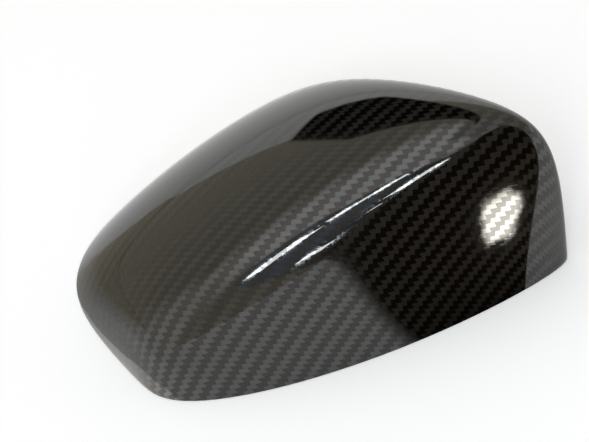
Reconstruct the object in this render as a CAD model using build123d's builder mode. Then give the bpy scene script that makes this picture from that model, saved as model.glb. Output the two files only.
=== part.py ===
from build123d import *
import os
from math import radians, tan

os.makedirs("parts", exist_ok=True)

# Wing mirror cover: one thin moulded shell, open underneath, standing on its trimmed rim.
# X runs from the outer nose (-) to the door end (+), Y from the tall ridge side (-) to the
# low far side (+), Z up from the rim plane to the crown. Millimetres.

# The laminate and its trim
WALL = 1.5
HEM = 26
HEM_CORNER = 62
TRIM_BLOCK = 300

# Three body ribs of the control net: the place on the centre line, the rake of the rib in
# plan, the near rim, the ridge corner, the far corner and the far rim.
NOSE_RIB_X = -70
NOSE_RIB_RAKE = -2
NOSE_RIB_NEAR_Y = -59
NOSE_RIB_RIDGE_Y = -42
NOSE_RIB_RIDGE_Z = 65
NOSE_RIB_FAR_CORNER_Y = 41
NOSE_RIB_FAR_CORNER_Z = 26
NOSE_RIB_FAR_Y = 65

MID_RIB_X = -1
MID_RIB_RAKE = -6
MID_RIB_NEAR_Y = -87
MID_RIB_RIDGE_Y = -56
MID_RIB_RIDGE_Z = 73
MID_RIB_FAR_CORNER_Y = 53
MID_RIB_FAR_CORNER_Z = 70
MID_RIB_FAR_Y = 79

DOOR_RIB_X = 60
DOOR_RIB_RAKE = -16
DOOR_RIB_NEAR_Y = -73
DOOR_RIB_RIDGE_Y = -71
DOOR_RIB_RIDGE_Z = 108
DOOR_RIB_FAR_CORNER_Y = 53
DOOR_RIB_FAR_CORNER_Z = 67
DOOR_RIB_FAR_Y = 79

# Where the net rows sit between those corners, and how far the middle of the front face sags
WALL_LOW = 0.30
WALL_HIGH = 0.75
FACE_NEAR = 0.20
FACE_MID = 0.55
FAR_LOW = 0.60
FACE_SAG = 5

# The nose end: the body's nose rib squeezed and lowered, then tucked under at the rim
NOSE_X = -93
NOSE_RAKE = -4
NOSE_BULGE = 6
NOSE_SQUEEZE = 0.80
NOSE_RISE = 0.79
NOSE_TUCK = 11
NOSE_HEM_SQUEEZE = 0.75

# The door end: a raked, nearly upright wall
DOOR_X = 67
DOOR_RAKE = -17
DOOR_BULGE = 5
DOOR_TUCK = 4
DOOR_HEM_SQUEEZE = 0.83

# Half of the plan width over which an end wall bulges, and how far the hem sinks at the ends
HALF_WIDTH = 78
HEM_SINK = 1.6

# How hard the skin is pulled to the net: along the ridge, which fades toward the nose, and
# around the top of the door end
RIDGE_PULL_NOSE = 1.5
RIDGE_PULL_DOOR = 3.3
DOOR_PULL = 2.2
RIDGE_ROW = 3


def between(start, end, share):
    return tuple(a + share * (b - a) for a, b in zip(start, end))


def body_rib(x, rake, near_rim, ridge, far_corner, far_rim):
    face = between(ridge, far_corner, FACE_MID)
    section = [
        between(near_rim, ridge, -HEM / ridge[1]),
        between(near_rim, ridge, WALL_LOW),
        between(near_rim, ridge, WALL_HIGH),
        ridge,
        between(ridge, far_corner, FACE_NEAR),
        (face[0], face[1] - FACE_SAG),
        far_corner,
        between(far_corner, far_rim, FAR_LOW),
        between(far_rim, far_corner, -HEM / far_corner[1]),
    ]
    return [(x + tan(radians(rake)) * y, y, z) for y, z in section]


def end_rib(rib, x, rake, bulge, squeeze, rise):
    points = []
    for _, y, z in rib:
        across = y * squeeze
        out = x + tan(radians(rake)) * across + bulge * (1 - (across / HALF_WIDTH) ** 2)
        points.append((out, across, z * rise if z > 0 else z * HEM_SINK))
    return points


def hem_rib(rib, tuck, squeeze):
    depths = [HEM_CORNER] + [HEM] * (len(rib) - 2) + [HEM_CORNER]
    return [(x + tuck, y * squeeze, -depth) for (x, y, _), depth in zip(rib, depths)]


nose_body = body_rib(
    NOSE_RIB_X,
    NOSE_RIB_RAKE,
    near_rim=(NOSE_RIB_NEAR_Y, 0),
    ridge=(NOSE_RIB_RIDGE_Y, NOSE_RIB_RIDGE_Z),
    far_corner=(NOSE_RIB_FAR_CORNER_Y, NOSE_RIB_FAR_CORNER_Z),
    far_rim=(NOSE_RIB_FAR_Y, 0),
)
mid_body = body_rib(
    MID_RIB_X,
    MID_RIB_RAKE,
    near_rim=(MID_RIB_NEAR_Y, 0),
    ridge=(MID_RIB_RIDGE_Y, MID_RIB_RIDGE_Z),
    far_corner=(MID_RIB_FAR_CORNER_Y, MID_RIB_FAR_CORNER_Z),
    far_rim=(MID_RIB_FAR_Y, 0),
)
door_body = body_rib(
    DOOR_RIB_X,
    DOOR_RIB_RAKE,
    near_rim=(DOOR_RIB_NEAR_Y, 0),
    ridge=(DOOR_RIB_RIDGE_Y, DOOR_RIB_RIDGE_Z),
    far_corner=(DOOR_RIB_FAR_CORNER_Y, DOOR_RIB_FAR_CORNER_Z),
    far_rim=(DOOR_RIB_FAR_Y, 0),
)
nose_end = end_rib(nose_body, NOSE_X, NOSE_RAKE, -NOSE_BULGE, NOSE_SQUEEZE, NOSE_RISE)
door_end = end_rib(door_body, DOOR_X, DOOR_RAKE, DOOR_BULGE, 1, 1)
net = [
    hem_rib(nose_end, NOSE_TUCK, NOSE_HEM_SQUEEZE),
    nose_end,
    nose_body,
    mid_body,
    door_body,
    door_end,
    hem_rib(door_end, -DOOR_TUCK, DOOR_HEM_SQUEEZE),
]

# Pull of each net point: the ridge row ramps up from the nose to the door end
pulls = []
for column, rib in enumerate(net):
    ramp = min(max((column - 1) / 4, 0), 1)
    ridge_pull = RIDGE_PULL_NOSE + (RIDGE_PULL_DOOR - RIDGE_PULL_NOSE) * ramp
    end_pull = DOOR_PULL if rib is door_end else 1
    pulls.append([end_pull * (ridge_pull if row == RIDGE_ROW else 1) for row in range(len(rib))])

# The mould surface is one smooth skin over the net
skin = Face.make_bezier_surface(net, pulls)
inward = -WALL if skin.normal_at().Z > 0 else WALL

# The laminate lies inside the skin and is sawn off flat at the rim
with BuildPart() as moulding:
    thicken(skin, amount=inward)
    with BuildSketch(Plane.XY):
        Rectangle(TRIM_BLOCK, TRIM_BLOCK)
    extrude(amount=-TRIM_BLOCK, mode=Mode.SUBTRACT)

# The origin sits in the rim plane under the middle of the plan
plan = moulding.part.bounding_box().center()
with BuildPart() as mirror_cover:
    with Locations((-plan.X, -plan.Y, 0)):
        add(moulding.part)

mirror_cover.part.label = "mirror_cover"
export_step(mirror_cover.part, "parts/mirror_cover.step")
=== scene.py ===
from math import comb, cos, pi, radians, sin, tan

import bpy
import numpy as np
from bpy.props import FloatProperty, FloatVectorProperty, IntProperty, PointerProperty
from bpy.types import Operator, Panel, PropertyGroup
from mathutils import Matrix, Vector


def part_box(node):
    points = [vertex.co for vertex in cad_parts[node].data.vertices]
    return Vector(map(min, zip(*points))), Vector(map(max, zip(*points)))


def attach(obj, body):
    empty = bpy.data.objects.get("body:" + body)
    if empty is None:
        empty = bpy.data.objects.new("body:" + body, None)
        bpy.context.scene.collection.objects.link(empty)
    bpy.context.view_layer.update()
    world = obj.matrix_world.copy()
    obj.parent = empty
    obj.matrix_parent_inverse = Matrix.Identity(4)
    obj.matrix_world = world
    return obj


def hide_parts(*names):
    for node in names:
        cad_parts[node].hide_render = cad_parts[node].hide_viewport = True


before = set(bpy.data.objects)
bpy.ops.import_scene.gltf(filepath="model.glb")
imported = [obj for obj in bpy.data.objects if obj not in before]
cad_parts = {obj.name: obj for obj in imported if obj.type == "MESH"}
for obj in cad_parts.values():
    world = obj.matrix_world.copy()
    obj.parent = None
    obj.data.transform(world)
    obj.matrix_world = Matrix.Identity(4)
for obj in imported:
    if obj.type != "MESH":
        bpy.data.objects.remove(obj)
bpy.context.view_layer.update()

bl_info = {
    "name": "Wing mirror cover",
    "version": (1, 0, 0),
    "blender": (4, 5, 0),
    "location": "View3D > Sidebar > Mirror cover",
    "description": "Moulded twill-weave cover of a wing mirror, with its studio",
    "category": "Object",
}

NODE = "mirror_cover"
PHOTO_WIDTH = 589
PHOTO_HEIGHT = 442
SENSOR = 36.0

# How far the lattice reaches over the net, and how finely it and the cloth are worked out
NET_REACH = 0.49
INNER_REACH = 0.05
HALVINGS = 44
SLOPE_PROBE = 0.0005
LAY_GRID = 34
LAY_ORDER = 7
LAY_ROUNDS = 16
FLOAT_POWER = 4.0

# The stage, in metres: how far it reaches, and the height of one layer of sheets
STAGE_REACH = 6.0
LAYER = 0.0002
# Painted reflection: around this point by the nose the floor glows more for glossy rays, lifting the reflection
# of the cover's own shadow there
NOSE_FOOT = (-0.115, -0.010, 0.0)
NOSE_PAINTED_GLOW_NEAR = 0.035
NOSE_PAINTED_GLOW_FAR = 0.080

# Straight lamps: the azimuth and rise of each end in degrees, and the width in metres
LAMP_CENTRE = (0.0, -0.04, 0.04)
LAMP_FAR = 4.0
LAMP_TINT = (0.92, 0.98, 1.0)
LAMP_ROWS = (
    ("lamp_row_left_low", ((-42.0, 33.0), (-38.0, 47.3)), 0.44),
    ("lamp_row_left_high", ((-36.5, 50.5), (-21.1, 56.0)), 0.30),
    ("lamp_row_right_low", ((-18.9, 11.2), (-17.8, 13.8)), 0.34),
    ("lamp_row_right_middle", ((-15.0, 25.2), (-14.4, 24.2)), 0.10),
    ("lamp_row_right_high", ((-14.0, 30.5), (-7.7, 40.0)), 0.28),
)

# Sheets on the floor that only the gloss sees, painted reflections: corners, layer, soft sides, tone and glow
SHEETS = (
    # Painted reflection: a dark sheet in front of the cover and to its right, for the dark zone the gloss shows
    # there
    ("dark_sheet", ((0.002, -0.062), (0.055, -0.062), (0.204, -0.251), (4.91, -6.2), (-2.3, -6.2)), 1,
     (((0.010, -0.076), (0.975, -0.223), 0.006),), (0.03, 0.022, 0.014), 0.0),
    # Painted reflection: a warm pale sheet to the left of and behind the cover
    ("warm_sheet", ((-0.05, -0.06), (-0.052, 0.60), (-0.145, 6.2), (-6.2, 6.2), (-6.2, 3.0)), 1,
     (((-0.066, 0.400), (-1.0, 0.035), 0.004), ((-0.110, 0.060), (0.5, 0.866), 0.06)),
     (0.64, 0.59, 0.48), 0.0),
    # Painted reflection: a glowing sheet at the nose's foot, brightening the floor the gloss shows there over
    # the cover's shadow
    ("foot_paper", ((-0.060, -0.043), (-0.060, 0.034), (-0.0825, 0.034), (-0.0890, 0.021),
                    (-0.0915, 0.001), (-0.0925, -0.009), (-0.0955, -0.017), (-0.0965, -0.024),
                    (-0.0955, -0.033), (-0.0915, -0.041), (-0.086, -0.043)), 0,
     (), (0.93, 0.92, 0.89), 1.2),
    # Painted highlight: a card glowing far brighter than paper, seen only in the gloss as a bright patch near
    # the door end
    ("pale_card", ((0.058, -0.195), (0.102, -0.195), (0.102, -0.100), (0.058, -0.100)), 2,
     (((0.067, -0.135), (0.98, 0.15), 0.003), ((0.085, -0.162), (-0.16, 0.987), 0.018),
      ((0.093, -0.145), (-0.96, 0.10), 0.004), ((0.084, -0.120), (-0.80, -0.60), 0.004),
      ((0.071, -0.113), (0.50, -0.86), 0.003)), (1.0, 0.95, 0.86), 11.0),
)

# Tones of the room that the gloss mirrors
WALL_LOW, WALL_HIGH, WALL_LEFT = (0.585, 0.54, 0.44), (0.51, 0.48, 0.40), (0.92, 0.89, 0.82)
PAPER_LOW, PAPER_HIGH = (0.91, 0.91, 0.895), (1.0, 1.0, 0.98)
CEILING, CEILING_RIGHT = (1.35, 1.35, 1.35), (0.62, 0.61, 0.59)
FRONT, FRONT_LEFT, BEHIND = (0.03, 0.022, 0.014), (0.30, 0.34, 0.40), (0.012, 0.012, 0.012)
BLACK, WHITE = (0.0, 0.0, 0.0), (1.0, 1.0, 1.0)


def length(name, default, description):
    return FloatProperty(name=name, description=description, default=default, unit="LENGTH", precision=4)


def angle(name, default, description):
    return FloatProperty(name=name, description=description, default=radians(default),
                         subtype="ANGLE", unit="ROTATION")


def share(name, default, description):
    return FloatProperty(name=name, description=description, default=default)


def corner(name, default, description):
    return FloatVectorProperty(name=name, description=description, default=default, size=2,
                               unit="LENGTH", precision=4)


def colour(name, default, description):
    return FloatVectorProperty(name=name, description=description, default=default, size=3, subtype="COLOR",
                               min=0.0, max=1.0)


class MouldSettings(PropertyGroup):
    """Sizes of the moulded skin and its laminate."""
    wall: length("Wall", 0.0015, "Thickness of the laminate")
    edge_ease: length("Edge ease", 0.0003, "Radius on the sawn edges of the rim")
    hem: length("Hem", 0.026, "How far the skin runs on below the rim before it is trimmed")
    hem_corner: length("Hem corner", 0.062, "How far the four corners of the skin hang below the rim")
    hem_sink: share("Hem sink", 1.6, "How much deeper the hem hangs at the two ends")
    half_width: length("Half width", 0.078, "Half of the plan width over which an end wall bulges")

    wall_low: share("Wall low row", 0.30, "Share of the near wall at its low net row")
    wall_high: share("Wall high row", 0.75, "Share of the near wall at its high net row")
    face_near: share("Face near row", 0.20, "Share of the front face at its near net row")
    face_mid: share("Face middle row", 0.55, "Share of the front face at its middle net row")
    far_low: share("Far low row", 0.60, "Share of the far wall at its low net row")
    face_sag: length("Face sag", 0.005, "How far the middle of the front face sags")

    nose_x: length("Nose end place", -0.093, "Place of the nose end")
    nose_rake: angle("Nose end rake", -4, "Rake of the nose end in plan")
    nose_bulge: length("Nose bulge", 0.006, "Bulge of the nose end in plan")
    nose_squeeze: share("Nose squeeze", 0.80, "Width of the nose end against the nose rib")
    nose_rise: share("Nose rise", 0.79, "Height of the nose end against the nose rib")
    nose_tuck: length("Nose tuck", 0.011, "How far the nose tucks under at the rim")
    nose_hem_squeeze: share("Nose hem squeeze", 0.75, "Width of the nose hem against the nose end")
    door_x: length("Door end place", 0.067, "Place of the door end")
    door_rake: angle("Door end rake", -17, "Rake of the door end in plan")
    door_bulge: length("Door bulge", 0.005, "Bulge of the door end in plan")
    door_tuck: length("Door tuck", 0.004, "How far the door end tucks under at the rim")
    door_hem_squeeze: share("Door hem squeeze", 0.83, "Width of the door hem against the door end")

    ridge_pull_nose: share("Ridge pull at nose", 1.5, "How hard the skin is pulled to the ridge at the nose")
    ridge_pull_door: share("Ridge pull at door", 3.3, "The same pull at the door end")
    door_pull: share("Door pull", 2.2, "How hard the skin is pulled around the top of the door end")
    rows: IntProperty(name="Rows", description="Mesh rows each way over one skin", default=200, min=40, max=220)


# The three body ribs of the net, each with the same settings
RIB_PARTS = (
    ("x", length, "place", "Place of the rib on the centre line"),
    ("rake", angle, "rake", "Rake of the rib in plan"),
    ("near", length, "near rim", "Near rim of the rib"),
    ("ridge", corner, "ridge", "Ridge corner of the rib, across and up"),
    ("far_corner", corner, "far corner", "Far corner of the rib, across and up"),
    ("far", length, "far rim", "Far rim of the rib"),
)
RIBS = {
    "nose": (-0.070, -2, -0.059, (-0.042, 0.065), (0.041, 0.026), 0.065),
    "mid": (-0.001, -6, -0.087, (-0.056, 0.073), (0.053, 0.070), 0.079),
    "door": (0.060, -16, -0.073, (-0.071, 0.108), (0.053, 0.067), 0.079),
}
for rib, sizes in RIBS.items():
    for (part, kind, title, text), size in zip(RIB_PARTS, sizes):
        MouldSettings.__annotations__[f"{rib}_rib_{part}"] = kind(f"{rib.title()} rib {title}", size, text)


class WeaveSettings(PropertyGroup):
    """Cloth, resin and coat of the laminate."""
    tow_pitch: length("Tow pitch", 0.00208, "Distance between neighbouring tows")
    lay_turn: angle("Lay turn", -25, "Turn of the level tows from the mould's long lines, over the crown")
    lay_swing: angle("Lay swing", 45, "How much that turn changes from the nose to the door end")
    cross_turn: angle("Cross turn", -119, "The same turn for the upright tows, on the front face")
    cross_turn_wall: angle("Cross turn on the wall", -90, "That turn at the foot of the near wall")
    lay_hold: share("Lay hold", 0.3, "How firmly the cloth is held to those turns against its even pitch")
    lay_ease: share("Lay ease", 0.1, "How much the cloth resists shearing against stretching")
    # Painted sheen: the level floats get a brighter tone than the upright ones, standing in for the fibres'
    # sheen that changes with how light falls; the twill pattern itself is real
    level_sheen_tone: colour("Level tows", (0.069, 0.069, 0.068), "Sheen of the floats that lie level")
    upright_sheen_tone: colour("Upright tows", (0.041, 0.037, 0.031), "Sheen of the floats that stand upright")
    level_roughness: share("Level roughness", 0.11, "Roughness of the floats that lie level")
    upright_roughness: share("Upright roughness", 0.75, "Roughness of the floats that stand upright")
    coat_roughness: share("Coat roughness", 0.015, "Roughness of the clear coat")
    fibre_spread: share("Fibre spread", 0.02, "How far the fibres' roundness spreads their sheen across a tow")
    crimp: share("Crimp", 0.01, "How far a tow dips where it goes under the next")
    inside_tone: colour("Inside", (0.045, 0.045, 0.046), "Colour of the bare inner face")
    edge_tone: colour("Sawn edge", (0.11, 0.11, 0.112), "Colour of the sawn edge")


class StageSettings(PropertyGroup):
    """Camera, floor and lamps."""
    azimuth: angle("Camera azimuth", -25.47, "Turn of the camera about the cover")
    elevation: angle("Camera elevation", 45.73, "Height of the camera above the floor plane")
    roll: angle("Camera roll", -7.56, "Roll of the camera")
    distance: length("Camera distance", 0.952, "Distance of the camera from its target")
    target: FloatVectorProperty(name="Target", description="Point that the camera's place is measured from",
                                default=(0.00062, -0.01505, 0.036), size=3, subtype="XYZ", unit="LENGTH")
    scale: share("Pixels per millimetre", 2.5526, "Picture scale at the target")
    target_x: share("Target across", 306.0, "Where the target falls in the picture, from the left")
    target_y: share("Target down", 208.7, "Where the target falls in the picture, from the top")
    floor_tone: colour("Floor", (0.905, 0.915, 0.935), "Colour of the floor")
    floor_glow: share("Floor glow", 0.19, "Glow of the floor for the camera")
    mirror_glow: share("Mirrored glow", 0.09, "Glow of the floor for the gloss")
    # Painted reflection: extra floor glow for the gloss at the nose, where the cover's shadow falls
    nose_painted_reflection_glow: share("Glow at the nose", 0.30, "Glow of the floor for the gloss, at the nose")
    panel_power: FloatProperty(name="Ceiling panel", description="Power of the ceiling panel", default=10.0,
                               unit="POWER")
    tube_glow: share("Tube glow", 16.0, "Brightness of the tube lamps' faces")


# The skin's control net


def between(start, end, part):
    return tuple(a + part * (b - a) for a, b in zip(start, end))


def body_rib(m, name):
    x, rake, near, ridge, far_corner, far = (getattr(m, f"{name}_rib_{part}") for part, *_ in RIB_PARTS)
    near_rim = (near, 0.0)
    far_rim = (far, 0.0)
    face = between(ridge, far_corner, m.face_mid)
    section = [
        between(near_rim, ridge, -m.hem / ridge[1]),
        between(near_rim, ridge, m.wall_low),
        between(near_rim, ridge, m.wall_high),
        tuple(ridge),
        between(ridge, far_corner, m.face_near),
        (face[0], face[1] - m.face_sag),
        tuple(far_corner),
        between(far_corner, far_rim, m.far_low),
        between(far_rim, far_corner, -m.hem / far_corner[1]),
    ]
    return [(x + tan(rake) * y, y, z) for y, z in section]


def end_rib(m, rib, x, rake, bulge, squeeze, rise):
    points = []
    for _, y, z in rib:
        across = y * squeeze
        out = x + tan(rake) * across + bulge * (1 - (across / m.half_width) ** 2)
        points.append((out, across, z * rise if z > 0 else z * m.hem_sink))
    return points


def hem_rib(m, rib, tuck, squeeze):
    depths = [m.hem_corner] + [m.hem] * (len(rib) - 2) + [m.hem_corner]
    return [(x + tuck, y * squeeze, -depth) for (x, y, _), depth in zip(rib, depths)]


def control_net(m):
    nose_body, mid_body, door_body = (body_rib(m, name) for name in RIBS)
    nose_end = end_rib(m, nose_body, m.nose_x, m.nose_rake, -m.nose_bulge, m.nose_squeeze, m.nose_rise)
    door_end = end_rib(m, door_body, m.door_x, m.door_rake, m.door_bulge, 1, 1)
    ribs = [hem_rib(m, nose_end, m.nose_tuck, m.nose_hem_squeeze), nose_end, nose_body, mid_body, door_body,
            door_end, hem_rib(m, door_end, -m.door_tuck, m.door_hem_squeeze)]
    net = np.array(ribs, float)
    pull = np.ones(net.shape[:2])
    ramp = np.clip((np.arange(len(ribs)) - 1) / 4, 0, 1)
    pull[:, 3] = m.ridge_pull_nose + (m.ridge_pull_door - m.ridge_pull_nose) * ramp
    pull[5] *= m.door_pull
    return net, pull


class Skin:
    """The mould surface over the net, with its two slopes."""

    def __init__(self, net, pull):
        self.net = net
        self.pull = pull
        self.weighted = np.concatenate([net * pull[..., None], pull[..., None]], -1)

    @staticmethod
    def shares(order, t):
        k = np.arange(order + 1)
        count = np.array([comb(order, i) for i in k], float)
        t = np.asarray(t, float)[..., None]
        full = count * t ** k * (1 - t) ** (order - k)
        low_count = np.array([comb(order - 1, i) for i in k[:-1]], float)
        low = low_count * t ** k[:-1] * (1 - t) ** (order - 1 - k[:-1])
        none = np.zeros(low.shape[:-1] + (1,))
        slope = order * (np.concatenate([none, low], -1) - np.concatenate([low, none], -1))
        return full, slope

    def at(self, uv):
        along, along_slope = self.shares(self.net.shape[0] - 1, uv[..., 0])
        across, across_slope = self.shares(self.net.shape[1] - 1, uv[..., 1])
        sums = [np.einsum("...i,...j,ijk->...k", a, b, self.weighted)
                for a, b in ((along, across), (along_slope, across), (along, across_slope))]
        point = sums[0][..., :3] / sums[0][..., 3:]
        slopes = [(s[..., :3] - point * s[..., 3:]) / sums[0][..., 3:] for s in sums[1:]]
        return point, slopes[0], slopes[1]

    def inward(self, uv, depth):
        point, along, across = self.at(uv)
        normal = np.cross(along, across)
        normal /= np.linalg.norm(normal, axis=-1, keepdims=True)
        return point - normal * np.asarray(depth)[..., None]


# The trimmed lattice of the laminate


def rim_row(skin, ways, depth, height):
    """Reach from the middle of the net, along each way, at which the skin at that depth is at that height."""
    reach = NET_REACH / np.abs(ways).max(1)
    low, high = INNER_REACH * reach, reach
    for _ in range(HALVINGS):
        mid = (low + high) / 2
        over = skin.inward(0.5 + ways * mid[:, None], np.full(len(ways), depth))[:, 2] > height
        low = np.where(over, mid, low)
        high = np.where(over, high, mid)
    return (low + high) / 2


def laminate_lattice(skin, wall, ease, rows):
    """Places (along, across, depth) of both skins and of the eased rim between them, with faces and kinds."""
    line = np.linspace(-1, 1, rows + 1)
    s, t = np.meshgrid(line, line, indexing="ij")
    grid = np.arange((rows + 1) ** 2).reshape(rows + 1, rows + 1)
    loop = np.concatenate([grid[:-1, 0], grid[-1, :-1], grid[:0:-1, -1], grid[0, :0:-1]])
    flat = np.stack([s.ravel(), t.ravel()], 1)
    ring = flat[loop]
    round_off = 1 - np.sqrt(0.5)
    profile = [(0.0, ease), (ease * round_off, ease * round_off), (ease, 0.0), (wall - ease, 0.0),
               (wall - ease * round_off, ease * round_off), (wall, ease)]
    ways = ring / np.linalg.norm(ring, axis=1, keepdims=True)
    reaches = [rim_row(skin, ways, depth, height) for depth, height in profile]
    size = np.abs(flat).max(1)
    turn = np.arctan2(flat[:, 1], flat[:, 0])
    ring_turn = np.arctan2(ring[:, 1], ring[:, 0])
    order = np.argsort(ring_turn)
    heading = np.stack([np.cos(turn), np.sin(turn)], 1)

    def sheet(reach, depth):
        far = np.interp(turn, ring_turn[order], reach[order], period=2 * np.pi)
        far[loop] = reach
        places = 0.5 + heading * (far * size)[:, None]
        return np.column_stack([places, np.full(len(places), depth)])

    outer = sheet(reaches[0], 0.0)
    inner = sheet(reaches[-1], wall)
    bands = [np.column_stack([0.5 + ways * r[:, None], np.full(len(ways), d)])
             for r, (d, _) in zip(reaches[1:-1], profile[1:-1])]
    places = np.concatenate([outer] + bands + [inner])
    first_band = len(outer)
    first_inner = first_band + len(bands) * len(loop)
    quads = np.stack([grid[:-1, :-1], grid[1:, :-1], grid[1:, 1:], grid[:-1, 1:]], -1).reshape(-1, 4)
    loops = [loop] + [first_band + k * len(loop) + np.arange(len(loop)) for k in range(len(bands))]
    loops.append(first_inner + loop)
    faces = [quads]
    kinds = [np.zeros(len(quads), int)]
    for one, two in zip(loops[:-1], loops[1:]):
        faces.append(np.stack([one, two, np.roll(two, -1), np.roll(one, -1)], 1))
        kinds.append(np.ones(len(loop), int))
    faces.append(first_inner + quads[:, ::-1])
    kinds.append(np.full(len(quads), 2))
    return places, np.concatenate(faces), np.concatenate(kinds)


# The lay of the cloth


def lay_terms(uv, order=LAY_ORDER):
    x = 2 * uv[:, 0] - 1
    y = 2 * uv[:, 1] - 1
    rows = [(i, j) for i in range(order + 1) for j in range(order + 1 - i) if i + j]
    value = np.stack([x ** i * y ** j for i, j in rows], 1)
    along = np.stack([2 * i * x ** max(i - 1, 0) * y ** j for i, j in rows], 1)
    across = np.stack([2 * j * x ** i * y ** max(j - 1, 0) for i, j in rows], 1)
    return value, along, across


def tow_steps(lay, along, across, slope_u, slope_v):
    half = len(lay) // 2
    au, av, bu, bv = along @ lay[:half], across @ lay[:half], along @ lay[half:], across @ lay[half:]
    det = (au * bv - av * bu)[:, None]
    level = (slope_u * bv[:, None] - slope_v * bu[:, None]) / det
    upright = (slope_v * au[:, None] - slope_u * av[:, None]) / det
    return level, upright


def lay_cloth(skin, w):
    """Coefficients of the tow numbers over the skin: held to its turns, the cloth keeps its pitch if it can."""
    line = np.linspace(0, 1, LAY_GRID)
    uv = np.stack(np.meshgrid(line, line, indexing="ij"), -1).reshape(-1, 2)
    point, slope_u, slope_v = skin.at(uv)
    keep = point[:, 2] > -0.006
    uv, slope_u, slope_v = uv[keep], slope_u[keep], slope_v[keep]
    value, along, across = lay_terms(uv)
    normal = np.cross(slope_u, slope_v)
    area = np.linalg.norm(normal, axis=1)
    weight = np.sqrt(area / area.mean())
    length_way = slope_u / np.linalg.norm(slope_u, axis=1)[:, None]
    width_way = np.cross(normal / area[:, None], length_way)
    blend = np.clip((uv[:, 1] - 0.05) / 0.35, 0, 1)
    blend = blend * blend * (3 - 2 * blend)
    level_turn = w.lay_turn + w.lay_swing * (uv[:, 0] - 0.5)
    cross_turn = w.cross_turn_wall + (w.cross_turn - w.cross_turn_wall) * blend
    sides = [np.cos(t)[:, None] * width_way - np.sin(t)[:, None] * length_way for t in (level_turn, cross_turn)]

    def misfit(lay):
        steps = tow_steps(lay, along, across, slope_u, slope_v)
        spans = [np.linalg.norm(step, axis=1) for step in steps]
        shear = np.sum(steps[0] * steps[1], 1) / (spans[0] * spans[1])
        stray = [np.sum(step * side, 1) / span for step, side, span in zip(steps, sides, spans)]
        even = [(span / w.tow_pitch - 1) * weight for span in spans]
        held = [w.lay_hold * one * weight for one in stray]
        return np.concatenate(even + [w.lay_ease * shear * weight] + held)

    spans = [np.linalg.norm(slope, axis=1).mean() / w.tow_pitch for slope in (slope_u, slope_v)]
    flat = (uv - 0.5) * np.array(spans)
    lean = w.lay_turn
    start = np.column_stack([flat @ [cos(lean), sin(lean)], flat @ [sin(lean), -cos(lean)]])
    lay = np.linalg.lstsq(value, start - start.mean(0), rcond=None)[0].T.ravel()
    left = misfit(lay)
    damp = 1e-3
    for _ in range(LAY_ROUNDS):
        slopes = np.empty((len(left), len(lay)))
        for k in range(len(lay)):
            step = 1e-4 * max(1.0, abs(lay[k]))
            moved = lay.copy()
            moved[k] += step
            slopes[:, k] = (misfit(moved) - left) / step
        square = slopes.T @ slopes
        for _ in range(6):
            change = np.linalg.solve(square + damp * np.diag(np.diag(square) + 1e-9), -slopes.T @ left)
            tried = misfit(lay + change)
            if np.isfinite(tried).all() and tried @ tried < left @ left:
                lay, left, damp = lay + change, tried, damp * 0.3
                break
            damp *= 4
        else:
            break
    return lay


def tow_fields(skin, lay, uv):
    """Tow numbers at each place, and the ways in which the level and the upright tows run there."""
    value, along, across = lay_terms(uv)
    half = len(lay) // 2
    numbers = np.column_stack([value @ lay[:half], value @ lay[half:], np.zeros(len(uv))])
    _, slope_u, slope_v = skin.at(uv)
    steps = tow_steps(lay, along, across, slope_u, slope_v)
    ways = [step / np.linalg.norm(step, axis=1)[:, None] for step in steps]
    return {"tow_place": numbers, "level_way": ways[0], "upright_way": ways[1]}


# Geometry node trees


def wire(tree, source, target):
    tree.links.new(source, target)


def number_node(tree, kind, one, two=None):
    node = tree.nodes.new("ShaderNodeMath")
    node.operation = kind
    for socket, given in zip(node.inputs, (one, two)):
        if given is None:
            continue
        if isinstance(given, (int, float)):
            socket.default_value = given
        else:
            wire(tree, given, socket)
    return node.outputs[0]


def plus(tree, one, two):
    return number_node(tree, "ADD", one, two)


def minus(tree, one, two):
    return number_node(tree, "SUBTRACT", one, two)


def times(tree, one, two):
    return number_node(tree, "MULTIPLY", one, two)


def give(node, values):
    for name, value in values.items():
        node.inputs[name].default_value = value


def vector_node(tree, kind, one, two=None, scale=None):
    node = tree.nodes.new("ShaderNodeVectorMath")
    node.operation = kind
    wire(tree, one, node.inputs[0])
    if two is not None:
        wire(tree, two, node.inputs[1])
    if scale is not None:
        wire(tree, scale, node.inputs["Scale"])
    return node.outputs[0]


def add_sockets(tree, way, *sockets):
    for name, kind in sockets:
        tree.interface.new_socket(name, in_out=way, socket_type="NodeSocket" + kind)


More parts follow.
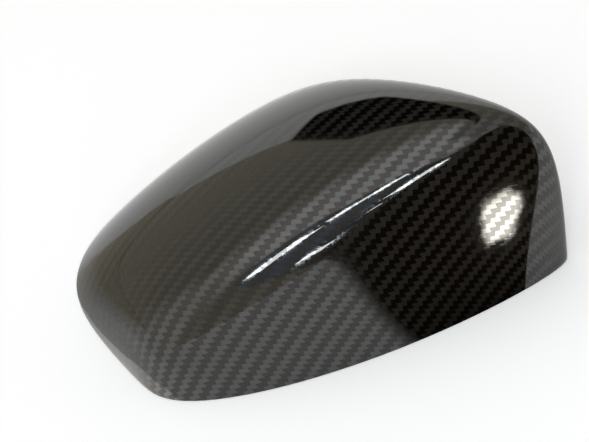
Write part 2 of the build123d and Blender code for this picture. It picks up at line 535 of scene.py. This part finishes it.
def net_point_group(along_order, across_order):
    """Point of the skin over a control net: its points, each weighed by its pull and its share of the place."""
    tree = bpy.data.node_groups.new("net_point", "GeometryNodeTree")
    add_sockets(tree, "INPUT", ("Net", "Geometry"), ("Along", "Float"), ("Across", "Float"))
    add_sockets(tree, "OUTPUT", ("Point", "Vector"))
    given = tree.nodes.new("NodeGroupInput")
    made = tree.nodes.new("NodeGroupOutput")
    start = tree.nodes.new("GeometryNodeRepeatInput")
    end = tree.nodes.new("GeometryNodeRepeatOutput")
    start.pair_with_output(end)
    end.repeat_items.clear()
    end.repeat_items.new("VECTOR", "Sum")
    end.repeat_items.new("FLOAT", "Total")
    start.inputs["Iterations"].default_value = (along_order + 1) * (across_order + 1)
    turn = start.outputs["Iteration"]
    rib = number_node(tree, "FLOOR", number_node(tree, "DIVIDE", turn, across_order + 1.0))
    row = minus(tree, turn, times(tree, rib, across_order + 1.0))

    def portion(place, order, index):
        up = number_node(tree, "POWER", place, index)
        down = number_node(tree, "POWER", minus(tree, 1.0, place), minus(tree, float(order), index))
        return times(tree, up, down)

    part = times(tree, portion(given.outputs["Along"], along_order, rib),
                 portion(given.outputs["Across"], across_order, row))
    position = tree.nodes.new("GeometryNodeInputPosition")
    pull = tree.nodes.new("GeometryNodeInputNamedAttribute")
    pull.data_type = "FLOAT"
    pull.inputs["Name"].default_value = "pull"
    picked = []
    for kind, field in (("FLOAT_VECTOR", position.outputs[0]), ("FLOAT", pull.outputs["Attribute"])):
        pick = tree.nodes.new("GeometryNodeSampleIndex")
        pick.data_type = kind
        pick.domain = "POINT"
        wire(tree, given.outputs["Net"], pick.inputs["Geometry"])
        wire(tree, field, pick.inputs["Value"])
        wire(tree, turn, pick.inputs["Index"])
        picked.append(pick.outputs["Value"])
    weight = times(tree, part, picked[1])
    drawn = vector_node(tree, "SCALE", picked[0], scale=weight)
    wire(tree, vector_node(tree, "ADD", start.outputs["Sum"], drawn), end.inputs["Sum"])
    wire(tree, plus(tree, start.outputs["Total"], weight), end.inputs["Total"])
    share_of_one = number_node(tree, "DIVIDE", 1.0, end.outputs["Total"])
    wire(tree, vector_node(tree, "SCALE", end.outputs["Sum"], scale=share_of_one), made.inputs["Point"])
    return tree


def laminate_tree(point_group, materials):
    """Lifts a lattice of (along, across, depth) onto the skin and gives each kind of face its material."""
    tree = bpy.data.node_groups.new("laminate_shell", "GeometryNodeTree")
    add_sockets(tree, "INPUT", ("Geometry", "Geometry"), ("Control net", "Object"), ("Slope probe", "Float"))
    add_sockets(tree, "OUTPUT", ("Geometry", "Geometry"))
    given = tree.nodes.new("NodeGroupInput")
    made = tree.nodes.new("NodeGroupOutput")
    net = tree.nodes.new("GeometryNodeObjectInfo")
    wire(tree, given.outputs["Control net"], net.inputs["Object"])
    position = tree.nodes.new("GeometryNodeInputPosition")
    place = tree.nodes.new("ShaderNodeSeparateXYZ")
    wire(tree, position.outputs[0], place.inputs[0])
    along, across, depth = place.outputs

    def point(u, v):
        node = tree.nodes.new("GeometryNodeGroup")
        node.node_tree = point_group
        wire(tree, net.outputs["Geometry"], node.inputs["Net"])
        wire(tree, u, node.inputs["Along"])
        wire(tree, v, node.inputs["Across"])
        return node.outputs["Point"]

    step = given.outputs["Slope probe"]
    here = point(along, across)
    slope_u = vector_node(tree, "SUBTRACT", point(plus(tree, along, step), across),
                          point(minus(tree, along, step), across))
    slope_v = vector_node(tree, "SUBTRACT", point(along, plus(tree, across, step)),
                          point(along, minus(tree, across, step)))
    normal = vector_node(tree, "NORMALIZE", vector_node(tree, "CROSS_PRODUCT", slope_u, slope_v))
    lifted = vector_node(tree, "SUBTRACT", here, vector_node(tree, "SCALE", normal, scale=depth))
    put = tree.nodes.new("GeometryNodeSetPosition")
    wire(tree, given.outputs["Geometry"], put.inputs["Geometry"])
    wire(tree, lifted, put.inputs["Position"])
    real = tree.nodes.new("GeometryNodeRealizeInstances")
    wire(tree, put.outputs["Geometry"], real.inputs["Geometry"])
    flow = real.outputs["Geometry"]
    kind = tree.nodes.new("GeometryNodeInputNamedAttribute")
    kind.data_type = "INT"
    kind.inputs["Name"].default_value = "face_kind"
    for index, material in enumerate(materials):
        same = tree.nodes.new("FunctionNodeCompare")
        same.data_type = "INT"
        same.operation = "EQUAL"
        wire(tree, kind.outputs["Attribute"], same.inputs[2])
        same.inputs[3].default_value = index
        dress = tree.nodes.new("GeometryNodeSetMaterial")
        dress.inputs["Material"].default_value = material
        wire(tree, flow, dress.inputs["Geometry"])
        wire(tree, same.outputs[0], dress.inputs["Selection"])
        flow = dress.outputs["Geometry"]
    wire(tree, flow, made.inputs["Geometry"])
    return tree


# Materials


def twill_group():
    """Two-by-two twill from tow numbers: which tow is on top, its height, its fibres and their normal."""
    tree = bpy.data.node_groups.new("twill_weave", "ShaderNodeTree")
    add_sockets(tree, "INPUT", ("Tow place", "Vector"), ("Level way", "Vector"), ("Upright way", "Vector"),
                ("Fibre spread", "Float"), ("Crimp", "Float"))
    for name, default in (("Fibre lines", 40.0), ("Edge round", 0.01), ("Float lean", 0.45), ("Sway", 0.01)):
        socket = tree.interface.new_socket(name, in_out="INPUT", socket_type="NodeSocketFloat")
        socket.default_value = default
    add_sockets(tree, "OUTPUT", ("Level float", "Float"), ("Height", "Float"), ("Fibre", "Float"),
                ("Tow tone", "Float"), ("Normal", "Vector"))
    given = tree.nodes.new("NodeGroupInput")
    made = tree.nodes.new("NodeGroupOutput")
    split = tree.nodes.new("ShaderNodeSeparateXYZ")
    wire(tree, given.outputs["Tow place"], split.inputs[0])
    b = split.outputs[1]
    tow_b, in_b = number_node(tree, "FLOOR", b), number_node(tree, "FRACT", b)
    around = number_node(tree, "FLOORED_MODULO", plus(tree, split.outputs[0], tow_b), 4.0)
    from_end = number_node(tree, "ABSOLUTE", minus(tree, around, 2.0))
    near_end = minus(tree, 1.0, times(tree, from_end, 0.5))
    leaned = times(tree, minus(tree, in_b, 0.5), given.outputs["Float lean"])
    a = minus(tree, split.outputs[0], times(tree, leaned, near_end))
    tow_a, in_a = number_node(tree, "FLOOR", a), number_node(tree, "FRACT", a)
    step = number_node(tree, "FLOORED_MODULO", plus(tree, tow_a, tow_b), 4.0)
    level = number_node(tree, "LESS_THAN", step, 2.0)

    def choose(kind, upright, flat):
        node = tree.nodes.new("ShaderNodeMix")
        node.data_type = kind
        sockets = [s for s in node.inputs if s.enabled]
        wire(tree, level, sockets[0])
        wire(tree, upright, sockets[1])
        wire(tree, flat, sockets[2])
        return [s for s in node.outputs if s.enabled][0]

    def centred(value):
        return minus(tree, times(tree, value, 2.0), 1.0)

    level_run = times(tree, plus(tree, step, in_a), 0.5)
    back_step = minus(tree, step, 2.0)
    upright_run = times(tree, plus(tree, back_step, in_b), 0.5)
    run = centred(choose("FLOAT", upright_run, level_run))
    width = centred(choose("FLOAT", in_a, in_b))
    wide = choose("FLOAT", a, b)
    tow = choose("FLOAT", tow_a, tow_b)
    long = choose("FLOAT", b, a)

    def steep(value):
        return number_node(tree, "POWER", number_node(tree, "ABSOLUTE", value), FLOAT_POWER)

    def falling(value):
        return minus(tree, 1.0, steep(value))

    def leaning_out(value):
        return times(tree, steep(value), number_node(tree, "SIGN", value))

    height = times(tree, falling(run), falling(width))

    def pair(x, y):
        node = tree.nodes.new("ShaderNodeCombineXYZ")
        wire(tree, x, node.inputs[0])
        wire(tree, y, node.inputs[1])
        return node.outputs[0]

    def noise(kind, place):
        node = tree.nodes.new(kind)
        node.noise_dimensions = "2D"
        wire(tree, place, node.inputs["Vector"])
        return node

    line = number_node(tree, "FLOOR", times(tree, wide, given.outputs["Fibre lines"]))
    fibre = noise("ShaderNodeTexWhiteNoise", pair(line, level)).outputs["Value"]
    tone = noise("ShaderNodeTexWhiteNoise", pair(tow, level)).outputs["Value"]
    waver = noise("ShaderNodeTexNoise", pair(times(tree, wide, 2.5), times(tree, long, 0.6)))
    give(waver, {"Scale": 1.0, "Detail": 1.0})

    facing = tree.nodes.new("ShaderNodeNewGeometry").outputs["Normal"]
    way = choose("VECTOR", given.outputs["Upright way"], given.outputs["Level way"])
    side = vector_node(tree, "CROSS_PRODUCT", facing, way)
    round_part = times(tree, leaning_out(width), given.outputs["Edge round"])
    swing = times(tree, centred(fibre), given.outputs["Fibre spread"])
    rest = minus(tree, 1.0, times(tree, swing, swing))
    fan = number_node(tree, "DIVIDE", swing, number_node(tree, "SQRT", rest))
    fan = plus(tree, fan, choose("FLOAT", round_part, times(tree, round_part, -1.0)))
    dip = times(tree, leaning_out(run), given.outputs["Crimp"])
    dip = plus(tree, dip, times(tree, centred(waver.outputs["Fac"]), given.outputs["Sway"]))
    leaning = vector_node(tree, "ADD", facing, vector_node(tree, "SCALE", side, scale=fan))
    leaning = vector_node(tree, "ADD", leaning, vector_node(tree, "SCALE", way, scale=dip))
    wire(tree, level, made.inputs["Level float"])
    wire(tree, height, made.inputs["Height"])
    wire(tree, fibre, made.inputs["Fibre"])
    wire(tree, tone, made.inputs["Tow tone"])
    wire(tree, vector_node(tree, "NORMALIZE", leaning), made.inputs["Normal"])
    return tree


def new_material(name):
    material = bpy.data.materials.new(name)
    material.use_nodes = True
    tree = material.node_tree
    return material, tree, tree.nodes["Principled BSDF"]


def weave_node(tree, group, spread, crimp):
    weave = tree.nodes.new("ShaderNodeGroup")
    weave.node_tree = group
    for name in ("Tow place", "Level way", "Upright way"):
        field = tree.nodes.new("ShaderNodeAttribute")
        field.attribute_name = name.lower().replace(" ", "_")
        wire(tree, field.outputs["Vector"], weave.inputs[name])
    give(weave, {"Fibre spread": spread, "Crimp": crimp})
    return weave


def scaled(tree, value, low, high):
    node = tree.nodes.new("ShaderNodeMapRange")
    wire(tree, value, node.inputs["Value"])
    give(node, {"To Min": low, "To Max": high})
    return node.outputs["Result"]


def faded(tree, value, start, end, low=0.0, high=1.0):
    """Eases from low to high while the value goes from start to end."""
    node = tree.nodes.new("ShaderNodeMapRange")
    node.interpolation_type = "SMOOTHSTEP"
    wire(tree, value, node.inputs["Value"])
    give(node, {"From Min": start, "From Max": end, "To Min": low, "To Max": high})
    return node.outputs["Result"]


def measured(tree, kind, place, given):
    """Distance of a place from a point, or its reach along a way."""
    node = tree.nodes.new("ShaderNodeVectorMath")
    node.operation = kind
    wire(tree, place, node.inputs[0])
    node.inputs[1].default_value = given
    return node.outputs["Value"]


def mixed(tree, mask, low, high):
    node = tree.nodes.new("ShaderNodeMix")
    node.data_type = "RGBA"
    wire(tree, mask, node.inputs["Factor"])
    for socket, given in zip([s for s in node.inputs if s.type == "RGBA"], (low, high)):
        if isinstance(given, bpy.types.NodeSocket):
            wire(tree, given, socket)
        else:
            socket.default_value = (*given, 1.0)
    return [s for s in node.outputs if s.type == "RGBA"][0]


def bump(tree, height, strength, distance):
    node = tree.nodes.new("ShaderNodeBump")
    give(node, {"Strength": strength, "Distance": distance})
    wire(tree, height, node.inputs["Height"])
    return node.outputs["Normal"]


def coated_twill(group, w):
    material, tree, shader = new_material("coated_twill")
    weave = weave_node(tree, group, w.fibre_spread, w.crimp)
    # Painted shade: the floats darken towards their ends and edges, where the tows dive under, times a random
    # tone per tow
    shade = times(tree, scaled(tree, weave.outputs["Height"], 0.75, 1.0),
                  scaled(tree, weave.outputs["Tow tone"], 0.85, 1.0))
    # Painted sheen: level floats brighter than upright ones, in place of the fibres' directional sheen
    tone = mixed(tree, weave.outputs["Level float"], w.upright_sheen_tone, w.level_sheen_tone)
    wire(tree, mixed(tree, shade, BLACK, tone), shader.inputs["Base Color"])
    wire(tree, scaled(tree, weave.outputs["Level float"], w.upright_roughness, w.level_roughness),
         shader.inputs["Roughness"])
    wire(tree, weave.outputs["Normal"], shader.inputs["Normal"])
    give(shader, {"Metallic": 1.0, "Specular Tint": (*BLACK, 1.0), "Coat Weight": 1.0,
                  "Coat Roughness": w.coat_roughness, "Coat IOR": 1.5})
    return material


def bare_twill(group, w):
    material, tree, shader = new_material("bare_twill")
    weave = weave_node(tree, group, w.fibre_spread * 0.6, w.crimp)
    # Painted shade: the bare floats darken towards near black at their ends and edges, where the tows dive
    # under, times a random tone per tow
    shade = times(tree, scaled(tree, weave.outputs["Height"], 0.5, 1.0),
                  scaled(tree, weave.outputs["Tow tone"], 0.8, 1.0))
    wire(tree, mixed(tree, shade, (0.004, 0.004, 0.004), w.inside_tone), shader.inputs["Base Color"])
    wire(tree, scaled(tree, weave.outputs["Fibre"], 0.42, 0.6), shader.inputs["Roughness"])
    wire(tree, weave.outputs["Normal"], shader.inputs["Normal"])
    shader.inputs["Metallic"].default_value = 0.5
    return material


def sawn_edge(w):
    material, tree, shader = new_material("sawn_edge")
    place = tree.nodes.new("ShaderNodeTexCoord")
    grain = tree.nodes.new("ShaderNodeTexNoise")
    give(grain, {"Scale": 2400.0, "Detail": 2.0})
    wire(tree, place.outputs["Object"], grain.inputs["Vector"])
    wire(tree, mixed(tree, grain.outputs["Fac"], tuple(c * 0.5 for c in w.edge_tone), w.edge_tone),
         shader.inputs["Base Color"])
    wire(tree, scaled(tree, grain.outputs["Fac"], 0.55, 0.8), shader.inputs["Roughness"])
    wire(tree, bump(tree, grain.outputs["Fac"], 0.4, 0.0001), shader.inputs["Normal"])
    return material


# Operators


def link(obj):
    bpy.context.scene.collection.objects.link(obj)
    return obj


def plain_mesh(name, points, faces=()):
    mesh = bpy.data.meshes.new(name)
    mesh.from_pydata([tuple(p) for p in points], [], [tuple(int(i) for i in f) for f in faces])
    return mesh


class COVER_OT_shell(Operator):
    """Mould the shell, lay its cloth and stand it in place of the solid"""
    bl_idname = "mirror_cover.shell"
    bl_label = "Moulded shell"

    def execute(self, context):
        m = context.scene.mirror_cover_mould
        w = context.scene.mirror_cover_weave
        net, pull = control_net(m)
        skin = Skin(net, pull)
        places, faces, kinds = laminate_lattice(skin, m.wall, m.edge_ease, m.rows)
        low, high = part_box(NODE)
        own = skin.inward(places[:, :2], places[:, 2])
        middle = (own.min(0) + own.max(0)) / 2
        net[..., 2] *= high.z / own[:, 2].max()
        net[..., 0] += (low.x + high.x) / 2 - middle[0]
        net[..., 1] += (low.y + high.y) / 2 - middle[1]

        net_mesh = plain_mesh("control_net", net.reshape(-1, 3))
        orders = [n - 1 for n in pull.shape]
        counts = np.outer(*[[comb(order, k) for k in range(order + 1)] for order in orders])
        net_mesh.attributes.new("pull", "FLOAT", "POINT").data.foreach_set("value", (pull * counts).ravel())
        net_object = link(bpy.data.objects.new("control_net", net_mesh))

        mesh = plain_mesh("moulded_shell", places, faces)
        for name, field in tow_fields(skin, lay_cloth(skin, w), places[:, :2]).items():
            mesh.attributes.new(name, "FLOAT_VECTOR", "POINT").data.foreach_set("vector", field.ravel())
        mesh.attributes.new("face_kind", "INT", "FACE").data.foreach_set("value", kinds.astype(np.int32))
        shell = link(bpy.data.objects.new("moulded_shell", mesh))

        group = twill_group()
        materials = [coated_twill(group, w), sawn_edge(w), bare_twill(group, w)]
        tree = laminate_tree(net_point_group(*orders), materials)
        modifier = shell.modifiers.new("laminate", "NODES")
        modifier.node_group = tree
        sockets = {s.name: s.identifier for s in tree.interface.items_tree if s.in_out == "INPUT"}
        modifier[sockets["Control net"]] = net_object
        modifier[sockets["Slope probe"]] = SLOPE_PROBE
        context.view_layer.update()
        evaluated = shell.evaluated_get(context.evaluated_depsgraph_get())
        done = bpy.data.meshes.new_from_object(evaluated)
        shell.modifiers.clear()
        shell.data = done
        bpy.data.meshes.remove(mesh)
        bpy.data.objects.remove(net_object)
        bpy.data.meshes.remove(net_mesh)
        done.name = "moulded_shell"
        for polygon in done.polygons:
            polygon.use_smooth = True
        if len(done.polygons) != len(faces):
            raise RuntimeError("the shell lost faces on its way to a plain mesh")
        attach(shell, "root")
        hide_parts(NODE)
        return {"FINISHED"}


class COVER_OT_stage(Operator):
    """Lay the floor, hang the lamps and set the camera at the photograph's angle"""
    bl_idname = "mirror_cover.stage"
    bl_label = "Stage"

    def execute(self, context):
        s = context.scene.mirror_cover_stage
        scene = context.scene
        scene.view_settings.view_transform = "Standard"
        self.camera(scene, s)
        self.floor(s)
        self.lamps(s)
        for sheet in SHEETS:
            self.sheet(*sheet)
        self.room(scene)
        return {"FINISHED"}

    def camera(self, scene, s):
        back = Vector((sin(s.azimuth) * cos(s.elevation), -cos(s.azimuth) * cos(s.elevation), sin(s.elevation)))
        right = Vector((cos(s.azimuth), sin(s.azimuth), 0.0))
        up = back.cross(right)
        right, up = right * cos(s.roll) + up * sin(s.roll), up * cos(s.roll) - right * sin(s.roll)
        target = Vector(s.target)
        eye = target + back * s.distance
        millimetre = 0.001 / s.scale
        middle = target + right * ((PHOTO_WIDTH / 2 - s.target_x) * millimetre)
        middle += up * ((s.target_y - PHOTO_HEIGHT / 2) * millimetre)
        back = (eye - middle).normalized()
        right = up.cross(back).normalized()
        up = back.cross(right)
        data = bpy.data.cameras.new("photo_camera")
        data.sensor_width = SENSOR
        data.lens = s.scale * s.distance * 1000 / PHOTO_WIDTH * SENSOR
        data.clip_start = 0.01
        data.clip_end = 60.0
        camera = link(bpy.data.objects.new("photo_camera", data))
        turned = Matrix((right, up, back)).transposed().to_4x4()
        camera.matrix_world = Matrix.Translation(eye) @ turned
        scene.camera = camera

    def matt(self, name, tone, roughness, glow_tone):
        material, tree, shader = new_material(name)
        give(shader, {"Base Color": (*tone, 1.0), "Roughness": roughness, "Specular IOR Level": 0.0,
                      "Emission Color": (*glow_tone, 1.0)})
        return material, tree, shader, tree.nodes.new("ShaderNodeTexCoord").outputs["Object"]

    def floor(self, s):
        square = ((-1, -1), (1, -1), (1, 1), (-1, 1))
        corners = [(x * STAGE_REACH, y * STAGE_REACH, -LAYER) for x, y in square]
        floor = link(bpy.data.objects.new("floor", plain_mesh("floor", corners, [(0, 1, 2, 3)])))
        material, tree, shader, place = self.matt("pale_floor", s.floor_tone, 0.9, WHITE)
        path = tree.nodes.new("ShaderNodeLightPath")
        # Painted reflection near the nose: the gloss sees the floor glow more there, over the cover's shadow
        from_nose = measured(tree, "DISTANCE", place, NOSE_FOOT)
        mirror_glow = faded(tree, from_nose, NOSE_PAINTED_GLOW_NEAR, NOSE_PAINTED_GLOW_FAR, s.nose_painted_reflection_glow, s.mirror_glow)
        seen = times(tree, path.outputs["Is Camera Ray"], s.floor_glow)
        mirrored = times(tree, path.outputs["Is Glossy Ray"], mirror_glow)
        wire(tree, plus(tree, seen, mirrored), shader.inputs["Emission Strength"])
        floor.data.materials.append(material)

    def lamp(self, name, place, turned, size, power):
        data = bpy.data.lights.new(name, "AREA")
        data.shape = "RECTANGLE"
        data.size, data.size_y = size
        data.energy = power
        lamp = link(bpy.data.objects.new(name, data))
        lamp.matrix_world = Matrix.Translation(place) @ turned.to_4x4()
        return lamp

    def strip(self, name, ends, width, glow):
        """A straight lamp seen from the cover between two directions, each an azimuth and an elevation."""
        centre = Vector(LAMP_CENTRE)
        points = []
        for azimuth, elevation in ends:
            a, e = radians(azimuth), radians(elevation)
            points.append(centre + Vector((sin(a) * cos(e), -cos(a) * cos(e), sin(e))) * LAMP_FAR)
        one, two = points
        middle = (one + two) / 2
        out = (middle - centre).normalized()
        along = (two - one).normalized()
        across = out.cross(along).normalized()
        turned = Matrix((along, across, along.cross(across).normalized())).transposed()
        size = ((two - one).length, width)
        lamp = self.lamp(name, middle, turned, size, glow * pi * size[0] * size[1])
        lamp.data.color = LAMP_TINT

    def lamps(self, s):
        place = Vector((0.0, 0.2, 3.0))
        turned = (-place).to_track_quat("-Z", "Y").to_matrix()
        panel = self.lamp("ceiling_panel", place, turned, (4.0, 4.0), s.panel_power)
        panel.visible_glossy = False
        for name, ends, width in LAMP_ROWS:
            self.strip(name, ends, width, s.tube_glow)

    def sheet(self, name, corners, layer, soft_sides, tone, glow):
        """A gloss-only sheet on the floor, a painted reflection. A soft side is a point, the way in and how
        soft.
        """
        mesh = plain_mesh(name, [(x, y, layer * LAYER) for x, y in corners], [range(len(corners))])
        sheet = link(bpy.data.objects.new(name, mesh))
        material, tree, shader, place = self.matt(name, tone, 1.0, tone)
        shader.inputs["Emission Strength"].default_value = glow
        cover = None
        for point, way, soft in soft_sides:
            way = Vector((*way, 0.0)).normalized()
            start = way.dot(Vector((*point, 0.0)))
            part = faded(tree, measured(tree, "DOT_PRODUCT", place, way), start - soft, start + soft)
            cover = part if cover is None else times(tree, cover, part)
        if cover is not None:
            wire(tree, cover, shader.inputs["Alpha"])
        sheet.data.materials.append(material)
        sheet.visible_camera = False
        sheet.visible_diffuse = False
        sheet.visible_shadow = False

    def room(self, scene):
        """The walls, paper and ceiling that the gloss mirrors. Each mask is made of edges, in degrees."""
        world = bpy.data.worlds.new("studio_room")
        world.use_nodes = True
        scene.world = world
        tree = world.node_tree
        background = tree.nodes["Background"]
        place = tree.nodes.new("ShaderNodeTexCoord")
        split = tree.nodes.new("ShaderNodeSeparateXYZ")
        wire(tree, place.outputs["Generated"], split.inputs[0])
        x, y, z = split.outputs
        azimuth = number_node(tree, "ARCTAN2", x, times(tree, y, -1.0))
        rise = number_node(tree, "ARCSINE", z)

        def edge(value, low, high):
            return faded(tree, value, radians(low), radians(high))

        def sloped(factor):
            return plus(tree, azimuth, times(tree, rise, factor))

        def all_of(*parts):
            mask = parts[0]
            for part in parts[1:]:
                mask = times(tree, mask, part)
            return mask

        notch = number_node(tree, "ABSOLUTE", plus(tree, azimuth, radians(6)))
        top = plus(tree, times(tree, notch, 0.75), radians(45))
        below_top = minus(tree, number_node(tree, "MINIMUM", top, radians(61)), rise)
        front = all_of(edge(azimuth, -56, -55), edge(sloped(-0.38), 41.5, 39.5),
                       edge(below_top, -0.5, 0.5), edge(sloped(1.06), -13.4, -12.2))
        all_round = number_node(tree, "FLOORED_MODULO", azimuth, 2 * pi)
        past_paper = plus(tree, all_round, times(tree, rise, 0.67))
        drop = minus(tree, rise, times(tree, azimuth, 1.17))
        behind = all_of(edge(azimuth, 174.9, 173.9), edge(rise, 3, 5), edge(drop, -193.8, -192.6),
                        edge(sloped(0.855), 196, 194), edge(sloped(0.41), 161, 163))
        lifted = minus(tree, rise, times(tree, edge(azimuth, 165, 172), radians(5)))
        walls = number_node(tree, "MAXIMUM", edge(lifted, 10, 13), edge(past_paper, 180.5, 181.5))
        left = all_of(edge(azimuth, -140, -110), edge(azimuth, -50, -70))
        right = all_of(edge(azimuth, -10, 25), edge(azimuth, 165, 145))
        wall_tone = mixed(tree, left, mixed(tree, edge(rise, 0, 25), WALL_LOW, WALL_HIGH), WALL_LEFT)
        paper_tone = mixed(tree, edge(rise, 0, 10), PAPER_LOW, PAPER_HIGH)
        ceiling_tone = mixed(tree, right, CEILING, CEILING_RIGHT)
        front_tone = mixed(tree, edge(azimuth, -11, -24), FRONT, FRONT_LEFT)
        room = mixed(tree, walls, paper_tone, wall_tone)
        room = mixed(tree, edge(rise, 42, 64), room, ceiling_tone)
        room = mixed(tree, front, room, front_tone)
        room = mixed(tree, behind, room, BEHIND)
        path = tree.nodes.new("ShaderNodeLightPath")
        seen = mixed(tree, path.outputs["Is Camera Ray"], room, WHITE)
        wire(tree, seen, background.inputs["Color"])
        background.inputs["Strength"].default_value = 1.0


class COVER_PT_sidebar(Panel):
    """Lists the cover's pieces and its stage"""
    bl_idname = "COVER_PT_sidebar"
    bl_label = "Wing mirror cover"
    bl_space_type = "VIEW_3D"
    bl_region_type = "UI"
    bl_category = "Mirror cover"

    def draw(self, context):
        scene = context.scene
        for title, settings, operator in (
            ("Shell", scene.mirror_cover_mould, COVER_OT_shell),
            ("Weave", scene.mirror_cover_weave, None),
            ("Stage", scene.mirror_cover_stage, COVER_OT_stage),
        ):
            box = self.layout.box()
            box.label(text=title)
            for name in settings.__annotations__:
                box.prop(settings, name)
            if operator:
                box.operator(operator.bl_idname)


CLASSES = (MouldSettings, WeaveSettings, StageSettings, COVER_OT_shell, COVER_OT_stage, COVER_PT_sidebar)


def register():
    for cls in CLASSES:
        bpy.utils.register_class(cls)
    bpy.types.Scene.mirror_cover_mould = PointerProperty(type=MouldSettings)
    bpy.types.Scene.mirror_cover_weave = PointerProperty(type=WeaveSettings)
    bpy.types.Scene.mirror_cover_stage = PointerProperty(type=StageSettings)


def unregister():
    del bpy.types.Scene.mirror_cover_stage
    del bpy.types.Scene.mirror_cover_weave
    del bpy.types.Scene.mirror_cover_mould
    for cls in reversed(CLASSES):
        bpy.utils.unregister_class(cls)


def main():
    register()
    bpy.ops.mirror_cover.shell()
    bpy.ops.mirror_cover.stage()


if __name__ == "__main__":
    main()
